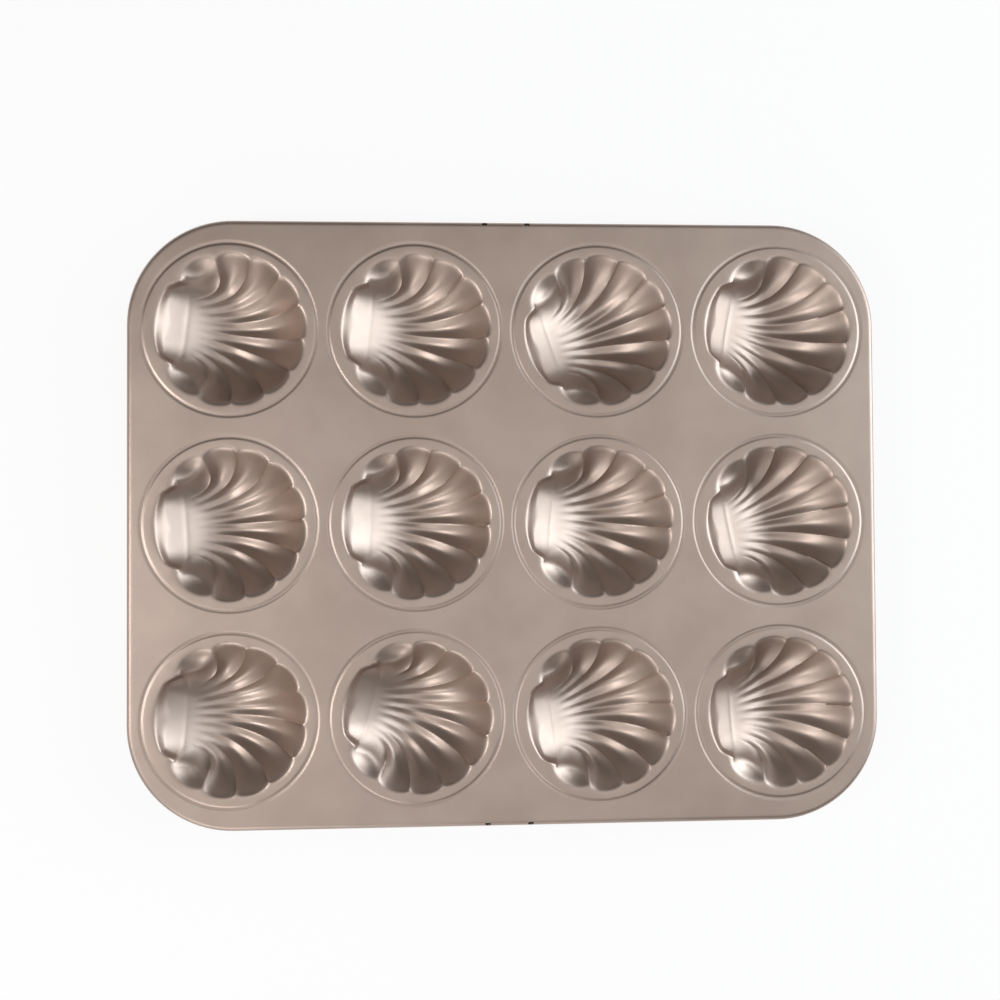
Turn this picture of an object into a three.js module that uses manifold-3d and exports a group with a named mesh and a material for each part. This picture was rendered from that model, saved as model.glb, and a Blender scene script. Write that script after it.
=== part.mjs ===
// A shell cake pan: twelve fluted cups seamed into a flat steel plate with a rolled rim.
//
// Millimetres, +Z up. X runs along the pan's long side and Y along its short side. The origin lies under
// the middle of the pan, on the surface that the cups stand on.

import * as THREE from 'three';
import { mergeVertices } from 'three/addons/utils/BufferGeometryUtils.js';
import Module from 'manifold-3d';

// Sheet and fits
const SHEET = 0.7; // thickness of the plate and of the cups
const CLEARANCE = 0.3; // gap left between pieces that touch

// Layout of the cups
const COLUMNS = 4;
const ROWS = 3;
const COLUMN_WEB = 3.7; // flat plate between two seams along X
const ROW_WEB = 8.2; // flat plate between two seams along Y
const END_WEB = 0.85; // flat plate between the last seam and the rim along X
const SIDE_WEB = 4.85; // flat plate between the last seam and the rim along Y
const CORNER_WEB = 2.85; // how much larger the corners are than a seam with the rim round it

// How far each cup is turned in its seam, in degrees, row by row from the back
const CUP_TURNS = [
  [-7.5, -6, 19, -10],
  [3.5, -2.5, -5.5, 11.5],
  [-4, -15, 8.5, 4],
];

// Mouth of a cup: the fan opens towards +X and the hinge of the shell lies towards -X
const MOUTH_RADIUS = 35.3; // cup axis to the crest of a flute
const FLUTE_COUNT = 8;
const FLUTE_RISE = 2; // crest of a flute beyond the notches beside it
const HINGE_ANGLE = 72; // degrees of the mouth that the hinge edge takes
const EAR_ANGLE = 36; // degrees of the mouth that one ear takes
const EAR_RISE = 1; // crest of an ear beyond the notches beside it

// Hollow of a cup
const CUP_DEPTH = 20; // top of the plate to the floor of the cup
const FLOOR_CUT = 1.1; // how much of the round bowl the flat floor cuts off
const BOWL_POWER = 2.6; // 2 is a paraboloid, higher is flatter with steeper walls
const RIDGE_HEIGHT = 1.6; // ridge between two flutes above their troughs
const RIDGE_RUN = 18; // distance from the cup axis over which the ridges grow out of the floor
const HINGE_BAND = 11.3; // hinge edge of the mouth to the crease where the flutes start
const CREASE_LENGTH = 25;
const CREASE_WIDTH = 1.6;
const FLUTE_LEAN = 1 / 6; // share of its mouth angle at which a flute leaves the crease
const FLUTE_ENTRY = 16; // length over which a flute runs straight out of the crease
const FRONT_EXIT = 22; // length over which the front flutes run straight to the mouth
const SIDE_EXIT = 9; // the same for the flutes beside the ears
const EAR_RIDGE = 3.6; // ridge under an ear above the bowl
const EAR_POCKET = 1.5; // pocket of an ear below the bowl

// Seam between a cup and the plate
const FLANGE_WIDTH = 4.85; // crest of a flute to the outside of the cup's turned-down edge
const SEAM_DEPTH = 3; // height of the cup's turned-down edge
const HOOK_LIP = 0.8; // how far the plate's hook reaches past that edge

// Rim
const WIRE_DIAMETER = 3;
const WIRE_GAP = 1; // between the butted ends of the wire
const ROLL_SWEEP = 270; // degrees that the sheet is rolled round the wire
const VENT_DIAMETER = 2.6; // holes in the outer flank of the roll
const VENT_SPACING = 20;
const VENT_ANGLE = 30; // above the horizontal

// Fineness
const FLUTE_STEPS = 3;
const EAR_STEPS = 3;
const HINGE_STEPS = 6;
const CORNER_STEPS = 8;
const ROLL_STEPS = 6;
const WIRE_SIDES = 6;
const VENT_SIDES = 10;

// Angles and points closer than this are the same
const TINY = 1e-6;
const WELD = 1e-4;

// Rows of a cup, as shares of the way from the crease to the mouth
const FLUTE_ROWS = [0.3, 0.58, 0.82];
const EAR_ROWS = [0.18, 0.38, 0.7];
const HINGE_ROWS = [0.25, 0.5, 0.74];

// Sizes that follow
const notchRadius = MOUTH_RADIUS - FLUTE_RISE;
const creaseX = HINGE_BAND - notchRadius;
const edgeRadius = MOUTH_RADIUS + FLANGE_WIDTH;
const holeRadius = edgeRadius + CLEARANCE;
const collarRadius = holeRadius + SHEET;
const hookRadius = edgeRadius - SHEET - HOOK_LIP;
const wireRadius = WIRE_DIAMETER / 2;
const rollInside = wireRadius + CLEARANCE;
const rollOutside = rollInside + SHEET;
const columnPitch = 2 * collarRadius + COLUMN_WEB;
const rowPitch = 2 * collarRadius + ROW_WEB;
const panLength = (COLUMNS - 1) * columnPitch + 2 * (collarRadius + END_WEB + 2 * rollOutside);
const panWidth = (ROWS - 1) * rowPitch + 2 * (collarRadius + SIDE_WEB + 2 * rollOutside);
const cornerRadius = collarRadius + CORNER_WEB + 2 * rollOutside;
const plateTop = CUP_DEPTH + SHEET;
const earEnd = 180 - HINGE_ANGLE / 2;
const fanHalf = earEnd - EAR_ANGLE;
const fluteAngle = (2 * fanHalf) / FLUTE_COUNT;

const wasm = await Module();
wasm.setup();

// Rises from 0 to 1 halfway and falls back to 0
function hump(share) {
  return Math.max(0, 4 * share * (1 - share));
}

// Round swelling of a flute or an ear between its two notches
function swell(share) {
  return Math.sqrt(hump(share));
}

// How far across its flute an angle lies, from 0 at one notch to 1 at the next
function fluteShare(angle) {
  const flutes = (angle + fanHalf) / fluteAngle;
  return flutes - Math.floor(flutes + TINY);
}

function earShare(angle) {
  return (Math.abs(angle) - fanHalf) / EAR_ANGLE;
}

function isFlute(angle) {
  return Math.abs(angle) <= fanHalf + TINY;
}

function isEar(angle) {
  return !isFlute(angle) && Math.abs(angle) < earEnd - TINY;
}

// Angles of the lines that run from the crease to the mouth, anticlockwise, hinge last
function columnAngles() {
  const angles = [];
  const fluteStep = fluteAngle / FLUTE_STEPS;
  const earStep = EAR_ANGLE / EAR_STEPS;
  const hingeStep = HINGE_ANGLE / HINGE_STEPS;
  for (let i = 0; i <= FLUTE_COUNT * FLUTE_STEPS; i += 1) {
    angles.push(i * fluteStep - fanHalf);
  }
  for (let i = 1; i <= EAR_STEPS; i += 1) {
    angles.push(fanHalf + i * earStep);
  }
  for (let i = 1; i <= HINGE_STEPS; i += 1) {
    const angle = earEnd + i * hingeStep;
    angles.push(angle > 180 ? angle - 360 : angle);
  }
  for (let i = 1; i < EAR_STEPS; i += 1) {
    angles.push(i * earStep - earEnd);
  }
  return angles;
}

const angles = columnAngles();

function polar(radius, degrees) {
  const turn = THREE.MathUtils.degToRad(degrees);
  return new THREE.Vector2(radius * Math.cos(turn), radius * Math.sin(turn));
}

// Seen from above, a point of the cup's mouth
function mouthPoint(angle) {
  if (isFlute(angle)) return polar(notchRadius + FLUTE_RISE * swell(fluteShare(angle)), angle);
  if (isEar(angle)) return polar(notchRadius + EAR_RISE * swell(earShare(angle)), angle);
  return polar(notchRadius, angle);
}

// Seen from above, where the line to a mouth angle leaves the crease: flutes on its front, ears round its
// ends and the hinge band on its back
function creasePoint(angle) {
  const half = CREASE_LENGTH / 2;
  const round = CREASE_WIDTH / 2;
  const side = Math.sign(angle);
  if (isFlute(angle)) return new THREE.Vector2(creaseX + round, (half * angle) / fanHalf);
  if (isEar(angle)) {
    const turn = Math.PI * earShare(angle);
    return new THREE.Vector2(creaseX + round * Math.cos(turn), side * (half + round * Math.sin(turn)));
  }
  const share = (180 - Math.abs(angle)) / (HINGE_ANGLE / 2);
  return new THREE.Vector2(creaseX - round, side * half * share);
}

// Seen from above, a line from the crease to the mouth. A flute leaves the crease along the fan and turns
// to meet the mouth squarely.
function columnCurve(angle) {
  const start = creasePoint(angle);
  const end = mouthPoint(angle);
  if (!isFlute(angle)) return new THREE.LineCurve(start, end);
  const exit = THREE.MathUtils.lerp(FRONT_EXIT, SIDE_EXIT, Math.abs(angle) / fanHalf);
  const leaving = start.clone().add(polar(FLUTE_ENTRY, angle * FLUTE_LEAN));
  const meeting = end.clone().sub(polar(exit, angle));
  return new THREE.CubicBezierCurve(start, leaving, meeting, end);
}

function columnRows(angle) {
  if (isFlute(angle)) return FLUTE_ROWS;
  return isEar(angle) ? EAR_ROWS : HINGE_ROWS;
}

// Height of a row's point above the round bowl: ridges beside the flutes, a pocket and a ridge at an ear
function rowLift(angle, row, plan) {
  if (isEar(angle)) return [0, EAR_RIDGE, -EAR_POCKET][row] * swell(earShare(angle));
  const share = columnRows(angle)[row];
  const grown = Math.min(1, plan.length() / RIDGE_RUN) ** 2;
  const ridge = RIDGE_HEIGHT * grown * hump(share);
  if (isFlute(angle)) return ridge * (1 - swell(fluteShare(angle)));
  return Math.abs(Math.abs(angle) - earEnd) < TINY ? ridge : 0;
}

// Point on the inside of the cup, with the top of the plate at height 0
function bowlPoint(plan, angle, lift) {
  const reach = plan.length() / mouthPoint(angle).length();
  const depth = (CUP_DEPTH + FLOOR_CUT) * (1 - reach ** BOWL_POWER) - lift;
  return new THREE.Vector3(plan.x, plan.y, -Math.min(depth, CUP_DEPTH));
}

function cupRow(row) {
  return angles.map((angle) => {
    const plan = columnCurve(angle).getPoint(columnRows(angle)[row]);
    return bowlPoint(plan, angle, rowLift(angle, row, plan));
  });
}

function roundRing(radius, height, turn = 0, centre = new THREE.Vector2()) {
  return angles.map((angle) => {
    const point = polar(radius, angle + turn).add(centre);
    return new THREE.Vector3(point.x, point.y, height);
  });
}

// Collects rings of points and the triangles between them
class Surface {
  points = [];

  triangles = [];

  // Takes in a ring and returns its number for the bands
  ring(points) {
    const first = this.points.length;
    this.points.push(...points);
    return { first, count: points.length };
  }

  // Two triangles a step between two rings of the same count. Rings run anticlockwise seen from above, and
  // the faces point up where the second ring is the wider one.
  band(from, to) {
    for (let i = 0; i < from.count; i += 1) {
      const next = (i + 1) % from.count;
      this.triangles.push(from.first + i, to.first + i, to.first + next);
      this.triangles.push(from.first + i, to.first + next, from.first + next);
    }
  }

  // Takes in a row of rings with a band between each two
  stack(rows) {
    const rings = rows.map((points) => this.ring(points));
    rings.slice(1).forEach((ring, i) => this.band(rings[i], ring));
    return rings;
  }

  // Closes a ring round one point in its middle
  fan(ring, centre, facesUp) {
    const middle = this.ring([centre]).first;
    for (let i = 0; i < ring.count; i += 1) {
      const a = ring.first + i;
      const b = ring.first + ((i + 1) % ring.count);
      this.triangles.push(middle, facesUp ? a : b, facesUp ? b : a);
    }
  }

  geometry() {
    const geometry = new THREE.BufferGeometry();
    geometry.setFromPoints(this.points);
    geometry.setIndex(this.triangles);
    geometry.computeVertexNormals();
    return geometry;
  }
}

// The inside of the hollow with the flange round it, from the crease out to the turned-down edge
function cupInside() {
  return [
    angles.map((angle) => bowlPoint(creasePoint(angle), angle, 0)),
    ...FLUTE_ROWS.map((_, row) => cupRow(row)),
    angles.map((angle) => new THREE.Vector3(mouthPoint(angle).x, mouthPoint(angle).y, 0)),
    roundRing(edgeRadius, 0),
  ];
}

function creaseCentre() {
  return bowlPoint(new THREE.Vector2(creaseX, 0), 180, 0);
}

// The outside of the sheet behind a point on its inside: one thickness back along the normal. On the flat
// floor and along the mouth the thickness is kept straight down, so that floor and flange stay flat.
function behind(point, normal) {
  const flat = point.z === 0 || point.z === -CUP_DEPTH;
  return point.clone().addScaledVector(normal, -SHEET / (flat ? normal.z : 1));
}

// One pressed cup: inside, flange, turned-down edge and outside, in one closed skin
function cupGeometry() {
  const inside = cupInside();
  const skin = new Surface();
  const rings = skin.stack(inside);
  skin.fan(rings[0], creaseCentre(), true);
  const normals = skin.geometry().getAttribute('normal');
  const normalAt = (index) => new THREE.Vector3().fromBufferAttribute(normals, index);

  const edge = [
    roundRing(edgeRadius, -SEAM_DEPTH),
    roundRing(edgeRadius - SHEET, -SEAM_DEPTH),
    roundRing(edgeRadius - SHEET, -SHEET),
  ];
  const outside = inside.slice(0, -1).map((points, number) =>
    points.map((point, i) => behind(point, normalAt(rings[number].first + i))),
  );
  const back = skin.stack([...edge, ...outside.reverse()]);
  skin.band(rings.at(-1), back[0]);
  const centreNormal = normalAt(rings.length * angles.length);
  skin.fan(back.at(-1), behind(creaseCentre(), centreNormal), false);
  return skin.geometry();
}

// Ring round the rim: the pan's outline moved in by a distance
function outlineRing(inset, height) {
  const radius = cornerRadius - inset;
  const x = panLength / 2 - cornerRadius;
  const y = panWidth / 2 - cornerRadius;
  const corners = [[x, y, 0], [-x, y, 90], [-x, -y, 180], [x, -y, 270]];
  const points = [];
  for (const [cornerX, cornerY, start] of corners) {
    for (let i = 0; i <= CORNER_STEPS; i += 1) {
      const arm = polar(radius, start + (90 * i) / CORNER_STEPS);
      points.push(new THREE.Vector3(cornerX + arm.x, cornerY + arm.y, height));
    }
  }
  return points;
}

// Ring at an angle round the rolled edge, 90 degrees being its top and 0 its outer side
function rollRing(radius, degrees) {
  const arm = polar(radius, degrees);
  return outlineRing(rollOutside - arm.x, arm.y - rollOutside);
}

// Middle of each cup, seen from above, with its turn and its place in the layout
function cupPlaces() {
  const places = [];
  for (let row = 0; row < ROWS; row += 1) {
    for (let column = 0; column < COLUMNS; column += 1) {
      const x = (column - (COLUMNS - 1) / 2) * columnPitch;
      const y = ((ROWS - 1) / 2 - row) * rowPitch;
      const turn = CUP_TURNS[row % CUP_TURNS.length][column % CUP_TURNS[0].length];
      places.push({ name: `shell_cup_r${row + 1}c${column + 1}`, centre: new THREE.Vector2(x, y), turn });
    }
  }
  return places;
}

// Flat sheet face between the rim and the holes
function flatFace(skin, outline, holes, facesUp) {
  const rings = [outline, ...holes];
  const flat = (ring) => skin.points.slice(ring.first, ring.first + ring.count);
  const numbers = rings.flatMap((ring) => Array.from({ length: ring.count }, (_, i) => ring.first + i));
  const faces = THREE.ShapeUtils.triangulateShape(flat(outline), holes.map(flat));
  for (const [a, b, c] of faces) {
    skin.triangles.push(numbers[a], numbers[facesUp ? b : c], numbers[facesUp ? c : b]);
  }
}

// Turned-down collar round a hole, hooked inwards under the cup's edge, from the plate's underside up
function collarRings(place) {
  const hookTop = -SEAM_DEPTH - CLEARANCE;
  const profile = [
    [collarRadius, -SHEET],
    [collarRadius, hookTop - SHEET],
    [hookRadius, hookTop - SHEET],
    [hookRadius, hookTop],
    [holeRadius, hookTop],
    [holeRadius, 0],
  ];
  return profile.map(([radius, height]) => roundRing(radius, height, place.turn, place.centre));
}

// Rolled edge from the top of the plate out, down, under and back to the plate's underside
function rimRings() {
  const step = ROLL_SWEEP / ROLL_STEPS;
  const outer = Array.from({ length: ROLL_STEPS + 1 }, (_, i) => rollRing(rollOutside, 90 - i * step));
  const inner = Array.from({ length: ROLL_STEPS + 1 }, (_, i) => rollRing(rollInside, 90 - i * step));
  return [...outer, ...inner.reverse()];
}

function solid(geometry) {
  const bare = geometry.clone();
  bare.deleteAttribute('normal');
  bare.deleteAttribute('uv');
  const merged = mergeVertices(bare, WELD);
  return new wasm.Manifold(
    new wasm.Mesh({
      numProp: 3,
      vertProperties: new Float32Array(merged.getAttribute('position').array),
      triVerts: new Uint32Array(merged.index.array),
    }),
  );
}

function shape(body) {
  const mesh = body.getMesh();
  const geometry = new THREE.BufferGeometry();
  geometry.setAttribute('position', new THREE.BufferAttribute(mesh.vertProperties, mesh.numProp));
  geometry.setIndex(new THREE.BufferAttribute(mesh.triVerts, 1));
  geometry.computeVertexNormals();
  return geometry;
}

// Cutter for one vent hole: a short round bar that points out of the roll's flank
function ventCutter(x, side) {
  const length = 2 * (rollOutside - wireRadius);
  const middle = polar((rollInside + rollOutside) / 2, VENT_ANGLE);
  const bar = new THREE.CylinderGeometry(VENT_DIAMETER / 2, VENT_DIAMETER / 2, length, VENT_SIDES);
  bar.rotateX(side * THREE.MathUtils.degToRad(VENT_ANGLE));
  bar.translate(x, side * (panWidth / 2 - rollOutside + middle.x), middle.y - rollOutside);
  return solid(bar);
}

function plateGeometry() {
  const skin = new Surface();
  const rim = skin.stack(rimRings());
  const collars = cupPlaces().map((place) => skin.stack(collarRings(place)));
  flatFace(skin, rim[0], collars.map((rings) => rings.at(-1)), true);
  flatFace(skin, rim.at(-1), collars.map((rings) => rings[0]), false);
  let plate = solid(skin.geometry());
  for (const side of [1, -1]) {
    for (const x of [-VENT_SPACING / 2, VENT_SPACING / 2]) {
      plate = plate.subtract(ventCutter(x, side));
    }
  }
  return shape(plate);
}

function wireGeometry() {
  const skin = new Surface();
  const rings = Array.from({ length: WIRE_SIDES }, (_, i) =>
    skin.ring(rollRing(wireRadius, 90 - (360 * i) / WIRE_SIDES)),
  );
  rings.forEach((ring, i) => skin.band(ring, rings[(i + 1) % WIRE_SIDES]));
  const gap = new THREE.BoxGeometry(WIRE_GAP, 2 * WIRE_DIAMETER, 2 * WIRE_DIAMETER);
  gap.translate(0, panWidth / 2 - rollOutside, -rollOutside);
  return shape(solid(skin.geometry()).subtract(solid(gap)));
}

const COATING = { color: 0xa8988e, roughness: 0.36, metalness: 0.75 };
const BARE_STEEL = { color: 0xb4b4b2, roughness: 0.4, metalness: 1 };

function addPiece(parent, name, geometry, finish) {
  const piece = new THREE.Mesh(geometry, new THREE.MeshStandardMaterial(finish));
  piece.name = name;
  parent.add(piece);
  return piece;
}

const pan = new THREE.Group();
pan.name = 'shell_cake_pan';
pan.position.z = plateTop;
addPiece(pan, 'top_plate', plateGeometry(), COATING);
addPiece(pan, 'rim_wire', wireGeometry(), BARE_STEEL);

const cupShape = cupGeometry();
for (const place of cupPlaces()) {
  const cup = addPiece(pan, place.name, cupShape, COATING);
  cup.position.set(place.centre.x, place.centre.y, 0);
  cup.rotation.z = THREE.MathUtils.degToRad(place.turn);
}

export default pan;
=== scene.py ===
# %% [markdown]
# # A shell cake pan
#
# This pan bakes twelve small shell cakes. It is sheet steel: a flat plate with a rolled rim, and twelve
# fluted cups that are pressed by themselves and seamed into round holes in the plate. A satin champagne
# coating covers all of it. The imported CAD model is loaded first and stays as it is, as a frame that the rest
# is fitted to. The lesson then models the plate, the cups and the rim wire again with finer surfaces, gives
# them their finish, and lights them as in a studio.

# %% Load the frame
import math

import bmesh
import bpy
from mathutils import Matrix, Vector


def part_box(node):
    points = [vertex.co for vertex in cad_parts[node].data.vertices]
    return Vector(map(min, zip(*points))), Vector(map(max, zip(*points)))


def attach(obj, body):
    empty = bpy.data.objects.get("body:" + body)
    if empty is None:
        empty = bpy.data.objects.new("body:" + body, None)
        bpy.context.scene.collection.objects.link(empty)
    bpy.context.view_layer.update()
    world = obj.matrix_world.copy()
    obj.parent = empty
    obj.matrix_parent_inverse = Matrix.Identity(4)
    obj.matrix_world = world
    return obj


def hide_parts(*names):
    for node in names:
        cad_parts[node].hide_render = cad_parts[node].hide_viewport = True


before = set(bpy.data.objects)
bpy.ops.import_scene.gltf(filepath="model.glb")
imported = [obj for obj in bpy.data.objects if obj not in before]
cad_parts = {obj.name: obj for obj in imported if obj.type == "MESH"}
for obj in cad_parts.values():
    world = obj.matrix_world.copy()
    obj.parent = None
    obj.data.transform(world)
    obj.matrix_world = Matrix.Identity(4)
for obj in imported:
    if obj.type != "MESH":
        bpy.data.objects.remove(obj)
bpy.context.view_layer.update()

# %% [markdown]
# ## Sizes
#
# Blender works in metres, and sheet metal is easier to read in millimetres, so each size is written as a
# number of millimetres times `MM`. The overall size comes from the frame. The rest are the sizes that the
# sheet was pressed and seamed to, so that the fine pieces land where the CAD pieces are.

# %% Sizes of the pan
MM = 0.001

_, plate_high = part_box("top_plate")
HALF_LENGTH = plate_high.x
HALF_WIDTH = plate_high.y
PLATE_TOP = plate_high.z

SHEET = 0.7 * MM
CLEARANCE = 0.3 * MM
COLUMN_PITCH = 86 * MM
ROW_PITCH = 90.5 * MM
CORNER_RADIUS = 49 * MM
ROLL_RADIUS = 2.5 * MM

# Heights that differ by less than TINY count as the same, and points closer than WELD are welded
TINY = 0.01 * MM
WELD = 0.005 * MM

# How far each cup is turned in its seam, in degrees, row by row from the back
CUP_TURNS = [
    [-7.5, -6, 19, -10],
    [3.5, -2.5, -5.5, 11.5],
    [-4, -15, 8.5, 4],
]


def cup_places():
    """Node name, middle and turn of each cup, row by row from the back."""
    places = []
    for row, turns in enumerate(CUP_TURNS):
        for column, turn in enumerate(turns):
            x = (column - (len(turns) - 1) / 2) * COLUMN_PITCH
            y = ((len(CUP_TURNS) - 1) / 2 - row) * ROW_PITCH
            places.append((f"shell_cup_r{row + 1}c{column + 1}", Vector((x, y, 0)), math.radians(turn)))
    return places


print("Cups:", [name for name, _, _ in cup_places()])

# %% [markdown]
# ## Working by hand in code
#
# Every tool in Blender acts on what is selected. These helpers do what a modeller does between two tools:
# let go of everything, go in and out of edit mode, and pick points by where they are. Loading the frame left
# its parts selected, so a new piece always starts from an empty selection.

# %% Helpers for modelling


def let_go():
    bpy.ops.object.select_all(action="DESELECT")


def pick(piece):
    let_go()
    piece.select_set(True)
    bpy.context.view_layer.objects.active = piece


def edit(piece):
    pick(piece)
    bpy.ops.object.mode_set(mode="EDIT")


def stop_editing():
    bpy.ops.object.mode_set(mode="OBJECT")


def select_points(piece, wanted):
    """In edit mode, selects the points whose place passes the test, with the edges between them."""
    bpy.ops.mesh.select_mode(type="VERT")
    bpy.ops.mesh.select_all(action="DESELECT")
    mesh = bmesh.from_edit_mesh(piece.data)
    for vert in mesh.verts:
        vert.select_set(wanted(vert.co))
    mesh.select_flush(True)
    bmesh.update_edit_mesh(piece.data)


def apply_modifier(piece, kind, **settings):
    pick(piece)
    modifier = piece.modifiers.new(kind.title(), kind)
    for key, value in settings.items():
        setattr(modifier, key, value)
    bpy.ops.object.modifier_apply(modifier=modifier.name)


def face_up(piece, is_top):
    """Turns an open sheet the right way: the faces that the test picks look up."""
    edit(piece)
    bpy.ops.mesh.select_all(action="SELECT")
    bpy.ops.mesh.normals_make_consistent(inside=False)
    mesh = bmesh.from_edit_mesh(piece.data)
    lean = sum(face.normal.z * face.calc_area() for face in mesh.faces if is_top(face.calc_center_median()))
    if lean < 0:
        bpy.ops.mesh.flip_normals()
    stop_editing()


def smooth(piece, degrees):
    pick(piece)
    bpy.ops.object.shade_smooth_by_angle(angle=math.radians(degrees))


let_go()
print("Selected before the first piece:", len(bpy.context.selected_objects))

# %% [markdown]
# ## The rolled rim
#
# The edge of the plate is rolled under, three quarters of the way round a wire, so that it is stiff and has
# no sharp edge. A modeller could bend a strip along a curve, but the outline is only four straight sides and
# four round corners. So the roll's section is drawn once, pulled straight along each side with extrude and
# turned round each corner with spin.

# %% Section of the roll
ROLL_SWEEP = 270
ROLL_STEPS = 27
LEAD = 0.8 * MM
SIDE_X = HALF_LENGTH - CORNER_RADIUS
SIDE_Y = HALF_WIDTH - CORNER_RADIUS
ROLL_MIDDLE = Vector((HALF_LENGTH - ROLL_RADIUS, -SIDE_Y, PLATE_TOP - ROLL_RADIUS))


def roll_section():
    """Three quarters of a circle, standing across the right side of the pan, with a short flat lead."""
    let_go()
    circle_points = ROLL_STEPS * 360 // ROLL_SWEEP
    bpy.ops.mesh.primitive_circle_add(
        vertices=circle_points, radius=ROLL_RADIUS, location=ROLL_MIDDLE, rotation=(math.pi / 2, 0, 0))
    section = bpy.context.object
    bpy.ops.object.transform_apply(location=True, rotation=True, scale=True)
    edit(section)
    select_points(section, lambda co: co.x < ROLL_MIDDLE.x - TINY and co.z > ROLL_MIDDLE.z + TINY)
    bpy.ops.mesh.delete(type="VERT")
    select_points(section, lambda co: co.z > PLATE_TOP - TINY)
    bpy.ops.mesh.extrude_vertices_move(TRANSFORM_OT_translate={"value": (-LEAD, 0, 0)})
    stop_editing()
    return section


plate = roll_section()
print("Section of the roll:", len(plate.data.vertices), "points")

# %% Sweep the section round the pan
CORNER_STEPS = 24


def sweep_round(runs, corners):
    """Pulls the selected section along each run, and spins it a quarter turn about the corner after it."""
    for run, corner in zip(runs, corners):
        bpy.ops.mesh.extrude_region_move(TRANSFORM_OT_translate={"value": run})
        if corner:
            bpy.ops.mesh.spin(steps=CORNER_STEPS, angle=-math.pi / 2, center=corner, axis=(0, 0, 1))


edit(plate)
bpy.ops.mesh.select_all(action="SELECT")
sweep_round(
    [(0, 2 * SIDE_Y, 0), (-2 * SIDE_X, 0, 0), (0, -2 * SIDE_Y, 0), (2 * SIDE_X, 0, 0)],
    [(SIDE_X, SIDE_Y, 0), (-SIDE_X, SIDE_Y, 0), (-SIDE_X, -SIDE_Y, 0), (SIDE_X, -SIDE_Y, 0)])
bpy.ops.mesh.select_all(action="SELECT")
bpy.ops.mesh.remove_doubles(threshold=WELD)
stop_editing()
print("Rolled rim:", len(plate.data.polygons), "faces,", [round(side, 4) for side in plate.dimensions])

# %% [markdown]
# ## Holes with a seam
#
# Round each of its twelve holes the plate's edge is turned down and hooked under the cup's edge, as the lid
# of a tin is. The coat runs into the seam, so from above it is only a shallow soft groove. The turned edge is
# a ring, so it starts as a circle. Each extrude makes one more ring, which is then scaled and lowered: the
# groove's flank, a straight wall and the hook. It is made once and copied to each hole.

# %% One turned-down hole edge
SEAM_RADIUS = 40.3 * MM
SEAM_GAP = 0.06 * MM
GROOVE_WIDTH = 1.4 * MM
GROOVE_DEPTH = 0.32 * MM
GROOVE_STEPS = 8
SEAM_DEPTH = 3 * MM
HOOK_RADIUS = 38.65 * MM
RING_POINTS = 144
HOLE_RADIUS = SEAM_RADIUS + SEAM_GAP / 2


def groove_flank(edge_radius, side):
    """Rings of one flank of the groove, from the flat to its edge. Side is 1 on the plate and -1 on a cup."""
    rings = []
    for step in range(GROOVE_STEPS + 1):
        share = step / GROOVE_STEPS
        drop = GROOVE_DEPTH * (1 - math.cos(math.pi * share)) / 2
        rings.append((edge_radius + side * GROOVE_WIDTH * (1 - share), -drop))
    return rings


def pull_rings(first, rings):
    """Extrudes the selected circle ring by ring. A ring is a radius and a height."""
    radius, height = first
    for next_radius, next_height in rings:
        bpy.ops.mesh.extrude_region_move(TRANSFORM_OT_translate={"value": (0, 0, next_height - height)})
        factor = next_radius / radius
        bpy.ops.transform.resize(value=(factor, factor, 1), center_override=(0, 0, next_height))
        radius, height = next_radius, next_height


def hole_edge():
    let_go()
    lead_radius = HOLE_RADIUS + GROOVE_WIDTH + LEAD
    bpy.ops.mesh.primitive_circle_add(vertices=RING_POINTS, radius=lead_radius, location=(0, 0, 0))
    ring = bpy.context.object
    hook_top = -SEAM_DEPTH - CLEARANCE
    rings = groove_flank(HOLE_RADIUS, 1) + [(HOLE_RADIUS, hook_top), (HOOK_RADIUS, hook_top)]
    edit(ring)
    bpy.ops.mesh.select_all(action="SELECT")
    pull_rings((lead_radius, 0), rings)
    stop_editing()
    return ring


seam_ring = hole_edge()
print("Turned-down edge:", len(seam_ring.data.polygons), "faces")

# %% Copy it to the twelve holes and join it to the plate


def copy_of(piece, name):
    twin = piece.copy()
    twin.data = piece.data.copy()
    twin.name = name
    bpy.context.scene.collection.objects.link(twin)
    return twin


rings = []
for name, middle, _ in cup_places():
    ring = copy_of(seam_ring, f"ring_{name}")
    ring.data.transform(Matrix.Translation(middle + Vector((0, 0, PLATE_TOP))))
    rings.append(ring)
bpy.data.objects.remove(seam_ring)
pick(plate)
for ring in rings:
    ring.select_set(True)
bpy.ops.object.join()
plate.name = "plate"
print("Plate so far:", len(plate.data.polygons), "faces")

# %% [markdown]
# ## The flat of the plate
#
# What is left of the plate is one flat face with twelve round holes. Fill makes it: it takes the rim's inner
# edge and the twelve ring edges and covers what lies between them. Each of these edges has a narrow flat lead
# beside it, so the bends shade smoothly and the flat stays flat. Solidify then gives the sheet its thickness,
# downwards, so that the top keeps its size.

# %% Fill the flat and give the sheet its thickness
edit(plate)
bpy.ops.mesh.select_mode(type="EDGE")
bpy.ops.mesh.select_all(action="DESELECT")
mesh = bmesh.from_edit_mesh(plate.data)
for edge in mesh.edges:
    on_top = all(vert.co.z > PLATE_TOP - TINY for vert in edge.verts)
    edge.select_set(edge.is_boundary and on_top)
bmesh.update_edit_mesh(plate.data)
bpy.ops.mesh.fill(use_beauty=True)
stop_editing()
face_up(plate, lambda co: co.z > PLATE_TOP - TINY)
apply_modifier(plate, "SOLIDIFY", thickness=SHEET, offset=-1, use_even_offset=True)
print("Plate:", len(plate.data.polygons), "faces,", [round(side, 4) for side in plate.dimensions])

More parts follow.
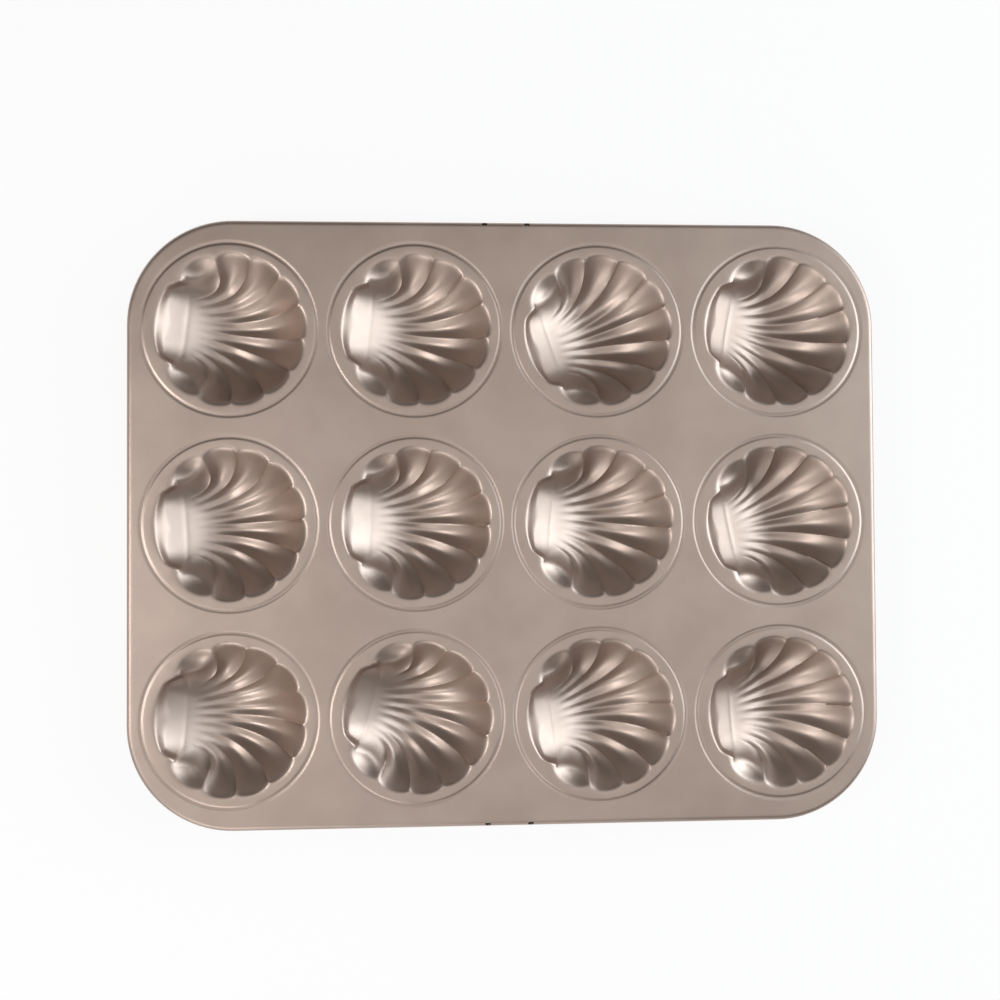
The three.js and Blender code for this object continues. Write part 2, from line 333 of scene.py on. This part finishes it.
# %% [markdown]
# ## Vent holes
#
# Four small holes go through the roll's outer side, two on each long side of the pan. Holes like these let
# wash water drain out of a roll. A drilled hole is a boolean cut with a cylinder, which stands where the
# drill went in. It is long enough to pass through the sheet, and too short to reach the roll's far side.

# %% Drill the vents
VENT_DIAMETER = 2.6 * MM
VENT_SPACING = 20 * MM
VENT_LIFT = math.radians(52)
VENT_REACH = 1.5 * ROLL_RADIUS
VENT_POINTS = 32


def drill(side, along):
    let_go()
    lean = side * (math.pi / 2 - VENT_LIFT)
    out = Vector((0, side * math.cos(VENT_LIFT), math.sin(VENT_LIFT)))
    roll_middle = Vector((along, side * (HALF_WIDTH - ROLL_RADIUS), PLATE_TOP - ROLL_RADIUS))
    bpy.ops.mesh.primitive_cylinder_add(
        vertices=VENT_POINTS, radius=VENT_DIAMETER / 2, depth=VENT_REACH,
        location=roll_middle + out * ROLL_RADIUS, rotation=(-lean, 0, 0))
    cutter = bpy.context.object
    apply_modifier(plate, "BOOLEAN", operation="DIFFERENCE", object=cutter, solver="EXACT")
    bpy.data.objects.remove(cutter)


for side in (-1, 1):
    for along in (-VENT_SPACING / 2, VENT_SPACING / 2):
        drill(side, along)
smooth(plate, degrees=40)
print("Drilled plate:", len(plate.data.polygons), "faces")

# %% [markdown]
# ## The rim wire
#
# Inside the roll runs a steel wire, bent into a loop with its two ends butted at the back of the pan. Its
# section is a small circle, swept round the pan as the roll was, and capped at both ends.

# %% Wire
WIRE_RADIUS = 1.5 * MM
WIRE_GAP = 1 * MM
WIRE_POINTS = 14


def wire_loop():
    let_go()
    start = Vector((-WIRE_GAP / 2, HALF_WIDTH - ROLL_RADIUS, PLATE_TOP - ROLL_RADIUS))
    bpy.ops.mesh.primitive_circle_add(
        vertices=WIRE_POINTS, radius=WIRE_RADIUS, location=start, rotation=(0, math.pi / 2, 0))
    wire = bpy.context.object
    bpy.ops.object.transform_apply(location=True, rotation=True, scale=True)
    edit(wire)
    bpy.ops.mesh.select_all(action="SELECT")
    end_run = SIDE_X - WIRE_GAP / 2
    sweep_round(
        [(-end_run, 0, 0), (0, -2 * SIDE_Y, 0), (2 * SIDE_X, 0, 0), (0, 2 * SIDE_Y, 0), (-end_run, 0, 0)],
        [(-SIDE_X, SIDE_Y, 0), (-SIDE_X, -SIDE_Y, 0), (SIDE_X, -SIDE_Y, 0), (SIDE_X, SIDE_Y, 0), None])
    bpy.ops.mesh.select_all(action="SELECT")
    bpy.ops.mesh.remove_doubles(threshold=WELD)
    bpy.ops.mesh.select_mode(type="EDGE")
    bpy.ops.mesh.select_all(action="DESELECT")
    bpy.ops.mesh.select_non_manifold()
    bpy.ops.mesh.edge_face_add()
    bpy.ops.mesh.select_all(action="SELECT")
    bpy.ops.mesh.normals_make_consistent(inside=False)
    stop_editing()
    wire.name = "wire"
    return wire


wire = wire_loop()
smooth(wire, degrees=50)
print("Wire:", len(wire.data.polygons), "faces,", [round(side, 4) for side in wire.dimensions])

# %% [markdown]
# ## The shape of a shell cup
#
# Seen from above, the mouth of a cup is a scallop: eight flutes fan out over three fifths of it, a small oval
# ear lies on each side, and the straight hinge of the shell closes it. The flutes all start on one crease
# near the hinge. Hand tools such as inset and bevel can't give flutes that curve and deepen along their
# length. A shape like this is pressed between two dies, so it is given as a formula, as a die maker does: for
# each angle on the mouth, a line runs from the crease to the mouth, and every point on it has a depth.

# %% Mouth and crease of a cup
MOUTH_RADIUS = 35.3 * MM
FLUTE_COUNT = 8
FLUTE_RISE = 2 * MM
HINGE_ANGLE = 79
EAR_ANGLE = 32.5
EAR_RISE = 3.2 * MM
NOTCH_RADIUS = MOUTH_RADIUS - FLUTE_RISE
HINGE_RADIUS = 34 * MM
HINGE_CORNER = 31.4 * MM
LOBE_ROUND = 0.6
EAR_ROUND = 0.75
EAR_END = 180 - HINGE_ANGLE / 2
FAN_HALF = EAR_END - EAR_ANGLE
FLUTE_ANGLE = 2 * FAN_HALF / FLUTE_COUNT
CORNER_TURN = 14
CREASE_X = -21.6 * MM
CREASE_LENGTH = 25 * MM

# Angles this close count as the same, so that rounding doesn't put a line into the next part of the mouth
HAIR = 1e-6


def hump(share):
    """A parabola over 0 to 1 that is 1 high."""
    return max(0.0, 4 * share * (1 - share))


def lerp(a, b, share):
    return a + (b - a) * share


def ease(share):
    share = min(1.0, max(0.0, share))
    return share * share * (3 - 2 * share)


def polar(radius, degrees):
    turn = math.radians(degrees)
    return Vector((radius * math.cos(turn), radius * math.sin(turn)))


def flute_share(angle):
    flutes = (angle + FAN_HALF) / FLUTE_ANGLE
    return flutes - math.floor(flutes + HAIR)


def ear_share(angle):
    return (abs(angle) - FAN_HALF) / EAR_ANGLE


def part_of(angle):
    if abs(angle) <= FAN_HALF + HAIR:
        return "flute"
    return "ear" if abs(angle) < EAR_END - HAIR else "hinge"


def notch_line(angle):
    """Radius of the mouth without its lobes: round along the fan, drawn in at the hinge corners."""
    if part_of(angle) == "hinge":
        return lerp(HINGE_CORNER, HINGE_RADIUS, ease((abs(angle) - EAR_END) / CORNER_TURN))
    return lerp(NOTCH_RADIUS, HINGE_CORNER, max(0.0, ear_share(angle)))


def mouth_point(angle):
    radius = notch_line(angle)
    if part_of(angle) == "flute":
        radius += FLUTE_RISE * hump(flute_share(angle)) ** LOBE_ROUND
    if part_of(angle) == "ear":
        radius += EAR_RISE * hump(ear_share(angle)) ** EAR_ROUND
    return polar(radius, angle)


def crease_point(angle):
    """Where a line starts: the flutes and the hinge share the crease, the ears start at its two ends."""
    share = math.copysign(1, angle)
    if part_of(angle) == "flute":
        share = angle / FAN_HALF
    if part_of(angle) == "hinge":
        share *= (180 - abs(angle)) / (HINGE_ANGLE / 2)
    return Vector((CREASE_X, share * CREASE_LENGTH / 2))


print("Mouth:", FLUTE_COUNT, "flutes of", FLUTE_ANGLE, "degrees")

# %% Lines from the crease to the mouth
FLUTE_ENTRY = 16 * MM
FRONT_EXIT = 22 * MM
SIDE_EXIT = 9 * MM

# The lines leave the crease almost side by side: they fan out so many times less there than at the mouth
FAN_NARROWING = 6


def line_point(angle, share):
    """Seen from above, a point on the line from the crease to the mouth: a Bezier curve in the fan, which
    straightens across the ears and is straight in the hinge band. Past the mouth the line runs outwards."""
    start = crease_point(angle)
    end = mouth_point(angle)
    if share > 1:
        return end + end.normalized() * (share - 1) * (end - start).length
    side = math.copysign(1, angle)
    fan_angle = side * min(abs(angle), FAN_HALF)
    straight = ease(ear_share(angle))
    exit_length = lerp(FRONT_EXIT, SIDE_EXIT, abs(fan_angle) / FAN_HALF)
    entry = polar(FLUTE_ENTRY, fan_angle / FAN_NARROWING)
    leaving = lerp(start + entry, lerp(start, end, 1 / 3), straight)
    meeting = lerp(end - polar(exit_length, angle), lerp(start, end, 2 / 3), straight)
    rest = 1 - share
    return (start * rest ** 3 + leaving * 3 * rest ** 2 * share
            + meeting * 3 * rest * share ** 2 + end * share ** 3)


print("Line at 0 degrees:", [round(value / MM, 1) for value in line_point(0, 0.5)], "mm at its middle")

# %% [markdown]
# ## Depth of the cup
#
# Several hollows meet in a cup. The round bowl has the flutes in its wall, and its rim steps back where the
# two ears lie. At the hinge a wall, steeper at its corners, comes down to a band that slopes to the crease.
# Each is a depth by itself. Where two of them meet, a soft maximum or minimum joins them, which leaves the
# rounded ridges and corners that a die needs so as not to tear the sheet.

# %% Bowl
CUP_DEPTH = 20 * MM
BOWL_POWER = 2.4
BOWL_RADIUS = NOTCH_RADIUS + FLUTE_RISE / 2
HINGE_SPREAD = 4 * MM
SPREAD_TURN = 20
EAR_ALONG = FAN_HALF + EAR_ANGLE / 2
EAR_RECESS = 3 * MM
RECESS_ANGLE = 24


def soft_min(a, b, blend):
    spread = max(0.0, 1 - abs(a - b) / blend)
    return min(a, b) - blend * spread * spread / 4


def soft_max(a, b, blend):
    return -soft_min(-a, -b, blend)


def bearing(point):
    """Angle of a point seen from the cup's middle, in degrees, the same on both sides of the shell."""
    return abs(math.degrees(math.atan2(point.y, point.x)))


def bowl_depth(point, angle, share):
    """Depth of the bowl. Its rim follows the lobes near the mouth, steps back a little to leave room for the
    ears, and spreads towards the hinge."""
    lobe = 0.0
    if part_of(angle) == "flute":
        lobe = FLUTE_RISE * hump(flute_share(angle)) ** LOBE_ROUND
    rim = lerp(BOWL_RADIUS, NOTCH_RADIUS + lobe, min(1.0, share) ** 2)
    off_ear = min(1.0, abs(bearing(point) - EAR_ALONG) / RECESS_ANGLE)
    far_out = ease(point.length / BOWL_RADIUS)
    rim -= EAR_RECESS * math.cos(math.pi / 2 * off_ear) ** 2 * far_out
    rim += HINGE_SPREAD * ease((bearing(point) - EAR_END) / SPREAD_TURN)
    return CUP_DEPTH * (1 - (point.length / rim) ** BOWL_POWER)


print("Bowl at the middle:", round(bowl_depth(Vector((0, 0)), 0, 0.4) / MM, 2), "mm deep")

# %% Ridges, ears and hinge
RIDGE_HEIGHT = 2 * MM
RIDGE_RUN = 0.75
RIDGE_GROWTH = 1.3
RIDGE_END = 4
RIDGE_SHARPNESS = 0.3
EAR_RIDGE_FALL = 3
EAR_MIDDLE = 27.6 * MM
EAR_HALF_LENGTH = 10.8 * MM
EAR_HALF_WIDTH = 7.7 * MM
EAR_DEPTH = 4.5 * MM
EAR_BLEND = 2 * MM
WALL_SLOPE = 1.35
CORNER_SLOPE = 3
CORNER_RELIEF = 0.4 * MM
WALL_BLEND = 2 * MM
BAND_X = -32.2 * MM
BAND_TOP = 3.7 * MM
BAND_SLOPE = 0.64
BAND_ROUND = 50 * MM
BAND_BLEND = 6 * MM
CREASE_DROP = 0.12 * MM
CREASE_SOFTNESS = 1.1 * MM


def trough(across):
    """Section of a flute from its middle, 0, to the ridge, 1: a wave, with a little of a sharp parabola."""
    return lerp((1 - math.cos(math.pi * across)) / 2, across ** 2, RIDGE_SHARPNESS)


def ridge_height(angle, share):
    """The ridges between the flutes: they grow out of the crease and run into the notches of the mouth. The
    last ridge on each side falls off within the first third of the ear."""
    share = min(1.0, share)
    grown = RIDGE_HEIGHT * ease(share / RIDGE_RUN) ** RIDGE_GROWTH * (1 - share ** RIDGE_END)
    if part_of(angle) == "flute":
        return grown * trough(abs(2 * flute_share(angle) - 1))
    if part_of(angle) == "ear":
        return grown * max(0.0, 1 - EAR_RIDGE_FALL * ear_share(angle)) ** 2
    return 0.0


def ear_depth(point):
    """Depth of an oval ear: a shallow scoop along the mouth."""
    offset = Vector((point.x, abs(point.y))) - polar(EAR_MIDDLE, EAR_ALONG)
    across = offset.dot(polar(1, EAR_ALONG)) / EAR_HALF_WIDTH
    length = offset.dot(polar(1, EAR_ALONG + 90)) / EAR_HALF_LENGTH
    return EAR_DEPTH * (1 - across ** 2 - length ** 2)


def wall_depth(point):
    """The wall under the hinge edge, steeper towards the corners. In front of them it moves out of the way,
    by the corner relief for each degree."""
    turn = max(EAR_END, bearing(point))
    slope = lerp(WALL_SLOPE, CORNER_SLOPE, ease((180 - turn) / (HINGE_ANGLE / 2)))
    corner_side = max(0.0, EAR_END - bearing(point)) * CORNER_RELIEF
    return slope * (notch_line(turn) + corner_side - point.length)


def band_depth(point):
    """The band that slopes from the hinge wall down to the crease, a little hollow along its length."""
    bow = point.y ** 2 / (2 * BAND_ROUND)
    return BAND_TOP + BAND_SLOPE * (point.x - BAND_X - bow)


def crease_drop(point):
    """The crease itself: a fine soft line between the band and the flutes, which fades out at its ends."""
    across = (point.x - CREASE_X) / CREASE_SOFTNESS
    along = ease(2 - 2 * abs(point.y) / CREASE_LENGTH)
    return CREASE_DROP * math.exp(-across * across) * along


def cup_depth(angle, share):
    point = line_point(angle, share)
    depth = soft_min(bowl_depth(point, angle, share), band_depth(point), BAND_BLEND)
    depth = soft_min(depth, wall_depth(point), WALL_BLEND)
    depth += crease_drop(point) - ridge_height(angle, share)
    return soft_max(depth, ear_depth(point), EAR_BLEND)


print("Depth at the crease:", round(cup_depth(0, 0) / MM, 2), "mm")

# %% [markdown]
# ## Pressing one cup
#
# A press starts from a plain blank. Here the blank is a tube: a circle with one point for each line of the
# shell, extruded once for each row. Pressing moves every point of the tube to its place on the shell, from
# the crease over the mouth's soft bend and the flat flange to the turned-down edge. The flutes and the hinge
# have as many lines each, so at the crease their points meet in pairs, and welding them closes the cup.

# %% Rows and columns of the blank
FLUTE_COLUMNS = 16
EAR_COLUMNS = 24
HINGE_COLUMNS = FLUTE_COUNT * FLUTE_COLUMNS
SHELL_ROWS = 48
ROW_PACKING = 0.6
BEND_ROWS = 8
BEND_WIDTH = 3 * MM
BEND_SOFTNESS = 0.75 * MM
LARGEST_POWER = 60.0


def column_angles():
    angles = [-FAN_HALF + FLUTE_ANGLE * i / FLUTE_COLUMNS for i in range(FLUTE_COUNT * FLUTE_COLUMNS)]
    angles += [FAN_HALF + EAR_ANGLE * i / EAR_COLUMNS for i in range(EAR_COLUMNS)]
    hinge = [EAR_END + HINGE_ANGLE * i / HINGE_COLUMNS for i in range(HINGE_COLUMNS)]
    angles += [angle if angle <= 180 else angle - 360 for angle in hinge]
    angles += [-EAR_END + EAR_ANGLE * i / EAR_COLUMNS for i in range(EAR_COLUMNS)]
    return angles


angles = column_angles()


def soft_lip(depth):
    """The depth with a soft bend where it comes up to the flat flange."""
    return BEND_SOFTNESS * math.log1p(math.exp(min(LARGEST_POWER, depth / BEND_SOFTNESS)))


def cup_column(angle):
    """All points of one line, from the crease out to the turned-down edge. Rows are closer at both ends."""
    length = (mouth_point(angle) - crease_point(angle)).length
    even = [row / SHELL_ROWS for row in range(SHELL_ROWS + 1)]
    shares = [lerp(share, ease(share), ROW_PACKING) for share in even]
    shares += [1 + BEND_WIDTH / length * row / BEND_ROWS for row in range(1, BEND_ROWS + 1)]
    points = []
    for share in shares:
        place = line_point(angle, share)
        points.append((place.x, place.y, -soft_lip(cup_depth(angle, share))))
    cup_edge = SEAM_RADIUS - SEAM_GAP / 2
    for radius, height in groove_flank(cup_edge, -1) + [(cup_edge, -SEAM_DEPTH)]:
        points.append((*polar(radius, angle), height))
    return points


row_count = len(cup_column(0))
print("Blank:", len(angles), "columns,", row_count, "rows")

# %% Extrude the blank, press it and weld the crease
CREASE_WELD = 0.002 * MM


def press_cup():
    let_go()
    bpy.ops.mesh.primitive_circle_add(vertices=len(angles), radius=NOTCH_RADIUS, location=(0, 0, 0))
    cup = bpy.context.object
    edit(cup)
    bpy.ops.mesh.select_all(action="SELECT")
    for _ in range(row_count - 1):
        bpy.ops.mesh.extrude_region_move(TRANSFORM_OT_translate={"value": (0, 0, MM)})
    stop_editing()
    columns = [cup_column(angle) for angle in angles]
    step = 2 * math.pi / len(angles)
    for vert in cup.data.vertices:
        column = round(math.atan2(vert.co.y, vert.co.x) / step) % len(angles)
        row = round(vert.co.z / MM)
        vert.co = columns[column][row]
    edit(cup)
    bpy.ops.mesh.select_all(action="SELECT")
    bpy.ops.mesh.remove_doubles(threshold=CREASE_WELD)
    stop_editing()
    return cup


first_cup = press_cup()
face_up(first_cup, lambda co: co.z > -MM)
apply_modifier(first_cup, "SOLIDIFY", thickness=SHEET, offset=-1, use_even_offset=False)
smooth(first_cup, degrees=45)
print("Cup:", len(first_cup.data.polygons), "faces")

# %% [markdown]
# ## Twelve cups
#
# The cups are alike, but nobody lines them up before the seam is closed, so each one sits at its own turn.
# The first cup is copied with its own mesh, turned and moved in the mesh, so that every object stays at the
# origin as the CAD pieces do.

# %% Place the cups
cups = []
for name, middle, turn in cup_places():
    cup = copy_of(first_cup, name.replace("shell_cup", "cup"))
    place = Matrix.Translation(middle + Vector((0, 0, PLATE_TOP)))
    cup.data.transform(place @ Matrix.Rotation(turn, 4, "Z"))
    cups.append((cup, name))
bpy.data.objects.remove(first_cup)
print("Cups placed:", len(cups))

# %% [markdown]
# ## Satin champagne coating
#
# The non-stick coat is a baked lacquer with fine metal flakes in it, so it shines like brushed metal with
# no direction. A metallic Principled shader gives that, under a thin clear coat that is a little smoother.
# Four noises break it up: wide patches of tone, fine flakes in the colour, slow changes of roughness, and
# the faint orange-peel bump that a sprayed coat always has.

# %% Tools for materials
TONE_STOPS = (0.35, 0.65)
NOISE_RANGE = (0.3, 0.7)


def node(tree, kind, **settings):
    made = tree.nodes.new(kind)
    for key, value in settings.items():
        setattr(made, key, value)
    return made


def noise(tree, coordinates, scale, detail):
    made = node(tree, "ShaderNodeTexNoise")
    made.inputs["Scale"].default_value = scale
    made.inputs["Detail"].default_value = detail
    tree.links.new(coordinates, made.inputs["Vector"])
    return made.outputs["Fac"]


def tone(tree, factor, low, high, stops=TONE_STOPS):
    """A colour that runs from the low one to the high one between two stops of the factor."""
    ramp = node(tree, "ShaderNodeValToRGB")
    for element, stop, colour in zip(ramp.color_ramp.elements, stops, (low, high)):
        element.position = stop
        element.color = (*colour, 1)
    tree.links.new(factor, ramp.inputs["Fac"])
    return ramp.outputs["Color"]


def span(tree, factor, low, high):
    """A number that runs from low to high over the usual range of a noise."""
    made = node(tree, "ShaderNodeMapRange")
    made.inputs["From Min"].default_value, made.inputs["From Max"].default_value = NOISE_RANGE
    made.inputs["To Min"].default_value = low
    made.inputs["To Max"].default_value = high
    tree.links.new(factor, made.inputs["Value"])
    return made.outputs["Result"]


print("Stops of a tone:", TONE_STOPS)

# %% Coating
COAT_DARK = (0.40, 0.315, 0.27)
COAT_LIGHT = (0.44, 0.35, 0.30)
PATCH_SCALE = 40
FLAKE_DARK = (0.94, 0.94, 0.94)
FLAKE_LIGHT = (1.0, 1.0, 1.0)
FLAKE_SCALE = 5000
PLATE_ROUGHNESS = 0.42
CUP_ROUGHNESS = 0.4
ROUGHNESS_CHANGE = 0.02
ROUGHNESS_SCALE = 120
PEEL_SCALE = 900
PEEL_STRENGTH = 0.06
PEEL_HEIGHT = 0.1 * MM
CLEAR_COAT = 0.2
CLEAR_COAT_POLISH = 0.05


def coating(name, roughness):
    material = bpy.data.materials.new(name)
    material.use_nodes = True
    tree = material.node_tree
    shader = tree.nodes["Principled BSDF"]
    place = node(tree, "ShaderNodeTexCoord").outputs["Object"]
    patches = tone(tree, noise(tree, place, PATCH_SCALE, detail=2), COAT_DARK, COAT_LIGHT)
    flakes = tone(tree, noise(tree, place, FLAKE_SCALE, detail=1), FLAKE_DARK, FLAKE_LIGHT)
    mix = node(tree, "ShaderNodeMix", data_type="RGBA", blend_type="MULTIPLY")
    mix.inputs["Factor"].default_value = 1
    tree.links.new(patches, mix.inputs["A"])
    tree.links.new(flakes, mix.inputs["B"])
    tree.links.new(mix.outputs["Result"], shader.inputs["Base Color"])
    slow = noise(tree, place, ROUGHNESS_SCALE, detail=3)
    rough = span(tree, slow, roughness - ROUGHNESS_CHANGE, roughness + ROUGHNESS_CHANGE)
    tree.links.new(rough, shader.inputs["Roughness"])
    bump = node(tree, "ShaderNodeBump")
    bump.inputs["Strength"].default_value = PEEL_STRENGTH
    bump.inputs["Distance"].default_value = PEEL_HEIGHT
    tree.links.new(noise(tree, place, PEEL_SCALE, detail=2), bump.inputs["Height"])
    tree.links.new(bump.outputs["Normal"], shader.inputs["Normal"])
    shader.inputs["Metallic"].default_value = 1
    shader.inputs["Coat Weight"].default_value = CLEAR_COAT
    shader.inputs["Coat Roughness"].default_value = roughness - CLEAR_COAT_POLISH
    return material


plate_coating = coating("plate_coating", PLATE_ROUGHNESS)
cup_coating = coating("cup_coating", CUP_ROUGHNESS)
print("Coatings:", plate_coating.name, cup_coating.name)

# %% [markdown]
# ## Bare wire
#
# The wire is drawn steel with no coat. It is thin and hidden in the roll, so a noise in its tone and a finer
# one in its roughness are enough.

# %% Wire steel
STEEL_DARK = (0.3, 0.3, 0.29)
STEEL_LIGHT = (0.5, 0.5, 0.49)
STEEL_SMOOTH = 0.3
STEEL_ROUGH = 0.5
STEEL_TONE_SCALE = 300
STEEL_ROUGHNESS_SCALE = 1500


def drawn_steel():
    material = bpy.data.materials.new("wire_steel")
    material.use_nodes = True
    tree = material.node_tree
    shader = tree.nodes["Principled BSDF"]
    place = node(tree, "ShaderNodeTexCoord").outputs["Object"]
    colour = tone(tree, noise(tree, place, STEEL_TONE_SCALE, detail=4), STEEL_DARK, STEEL_LIGHT)
    rough = span(tree, noise(tree, place, STEEL_ROUGHNESS_SCALE, detail=2), STEEL_SMOOTH, STEEL_ROUGH)
    tree.links.new(colour, shader.inputs["Base Color"])
    tree.links.new(rough, shader.inputs["Roughness"])
    shader.inputs["Metallic"].default_value = 1
    return material


wire_steel = drawn_steel()
print("Wire material:", wire_steel.name)

# %% [markdown]
# ## Dressing the frame
#
# Each finished piece takes its material, rides on the frame's one body, and stands for the CAD piece that it
# replaces.

# %% Hand the pieces over


def dress(piece, material, node_name):
    piece.data.materials.clear()
    piece.data.materials.append(material)
    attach(piece, "root")
    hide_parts(node_name)


dress(plate, plate_coating, "top_plate")
dress(wire, wire_steel, "rim_wire")
for cup, name in cups:
    dress(cup, cup_coating, name)
print("Dressed pieces:", 2 + len(cups))

# %% [markdown]
# ## Floor
#
# The pan lies on a plain white sweep. To the camera and in reflections the sweep is white; a share of it is
# a real matt surface, so that the pan keeps a soft shadow under it.

# %% White floor
FLOOR_SIZE = 12
FLOOR_GREY = (0.8, 0.8, 0.8, 1)
SHADOW_SHARE = 0.12


def white_floor():
    let_go()
    bpy.ops.mesh.primitive_plane_add(size=FLOOR_SIZE, location=(0, 0, 0))
    floor = bpy.context.object
    floor.name = "floor"
    material = bpy.data.materials.new("white_sweep")
    material.use_nodes = True
    tree = material.node_tree
    tree.nodes.clear()
    matt = node(tree, "ShaderNodeBsdfDiffuse")
    matt.inputs["Color"].default_value = FLOOR_GREY
    glow = node(tree, "ShaderNodeEmission")
    path = node(tree, "ShaderNodeLightPath")
    seen = node(tree, "ShaderNodeMath", operation="MAXIMUM")
    tree.links.new(path.outputs["Is Camera Ray"], seen.inputs[0])
    tree.links.new(path.outputs["Is Glossy Ray"], seen.inputs[1])
    seen_too = node(tree, "ShaderNodeMath", operation="MAXIMUM")
    tree.links.new(seen.outputs[0], seen_too.inputs[0])
    tree.links.new(path.outputs["Is Transmission Ray"], seen_too.inputs[1])
    share = node(tree, "ShaderNodeMath", operation="MULTIPLY")
    share.inputs[1].default_value = 1 - SHADOW_SHARE
    tree.links.new(seen_too.outputs[0], share.inputs[0])
    mix = node(tree, "ShaderNodeMixShader")
    tree.links.new(share.outputs[0], mix.inputs["Fac"])
    tree.links.new(matt.outputs[0], mix.inputs[1])
    tree.links.new(glow.outputs[0], mix.inputs[2])
    out = node(tree, "ShaderNodeOutputMaterial")
    tree.links.new(mix.outputs[0], out.inputs["Surface"])
    floor.data.materials.append(material)
    return floor


floor = white_floor()
print("Floor:", floor.name, FLOOR_SIZE, "m wide")

# %% [markdown]
# ## Light
#
# A shiny pan shows what stands round it more than it shows light and shade. A wide panel overhead gives the
# plate its even tone. On the right a panel and a box, a little cool as a window is, whiten the hinge side
# of every cup. A weak panel on the left and a low one in front fill the walls across from them, and two small
# boxes, on the left and in front on the left, draw the streaks along the flutes. The room is dim, with a pale
# band round the horizon, and no lamp stands at the back.

# %% Lamps
WINDOW = (0.9, 1.0, 1.07)


def soft_box(name, azimuth, zenith, distance, size, level, tint=(1, 1, 1)):
    """A rectangular lamp that looks at the pan, with a face as bright as the level says. The azimuth turns
    from the right to the back, the zenith angle is measured from straight up."""
    place = polar(math.sin(math.radians(zenith)), azimuth).to_3d()
    place.z = math.cos(math.radians(zenith))
    place *= distance
    lamp = bpy.data.lights.new(name, "AREA")
    lamp.shape = "RECTANGLE"
    lamp.size, lamp.size_y = size
    lamp.energy = level * math.pi * size[0] * size[1]
    lamp.color = tint
    holder = bpy.data.objects.new(name, lamp)
    bpy.context.scene.collection.objects.link(holder)
    holder.location = place
    holder.rotation_euler = (-place).to_track_quat("-Z", "Y").to_euler()
    return holder


soft_box("overhead_panel", 290, 4, 1.3, (1.5, 1.5), 0.8)
soft_box("right_panel", 12, 60, 1.2, (1.5, 1.06), 1.55, WINDOW)
soft_box("right_box", 8, 70, 1.2, (0.8, 0.8), 2.9, WINDOW)
soft_box("left_panel", 205, 56, 1.2, (1.4, 1), 0.6)
soft_box("left_box", 188, 46, 1, (0.32, 0.4), 6)
soft_box("front_left_box", 245, 60, 1, (0.4, 0.4), 2.6)
soft_box("front_panel", 262, 70, 1.2, (1.3, 0.6), 0.75)

# %% Room
HORIZON = (0.55, 0.55, 0.55)
ROOM = (0.18, 0.17, 0.16)
HORIZON_STOPS = (0.1, 0.2)


def studio_room():
    """The world: a pale band up to the first stop of the height, and the dim room from the second one up."""
    world = bpy.data.worlds.new("studio")
    world.use_nodes = True
    tree = world.node_tree
    height = node(tree, "ShaderNodeSeparateXYZ")
    tree.links.new(node(tree, "ShaderNodeTexCoord").outputs["Generated"], height.inputs["Vector"])
    shade = tone(tree, height.outputs["Z"], HORIZON, ROOM, HORIZON_STOPS)
    tree.links.new(shade, tree.nodes["Background"].inputs["Color"])
    return world


bpy.context.scene.world = studio_room()
print("Room:", bpy.context.scene.world.name)

# %% [markdown]
# ## Camera
#
# The photograph looks almost straight down, from about 55 cm above the plate and a little left of the pan's
# middle, so the cups' walls show more on one side than on the other.

# %% Camera
CAMERA_ABOVE_PLATE = Vector((-35.65, -1.87, 548.95)) * MM
CAMERA_FORWARD = Vector((0.05835, 0.02245, -0.99804))
CAMERA_UP = Vector((0.00508, 0.99973, 0.02278))
LENS = 42.28
SENSOR = 36

lens = bpy.data.cameras.new("camera")
lens.lens = LENS
lens.sensor_width = SENSOR
camera = bpy.data.objects.new("camera", lens)
bpy.context.scene.collection.objects.link(camera)
right = CAMERA_FORWARD.cross(CAMERA_UP).normalized()
up = right.cross(CAMERA_FORWARD).normalized()
turn = Matrix((right, up, -CAMERA_FORWARD.normalized())).transposed().to_4x4()
camera.matrix_world = Matrix.Translation(CAMERA_ABOVE_PLATE + Vector((0, 0, PLATE_TOP))) @ turn
bpy.context.scene.camera = camera
bpy.context.scene.view_settings.view_transform = "Standard"
print("Camera at", [round(value, 3) for value in camera.location])
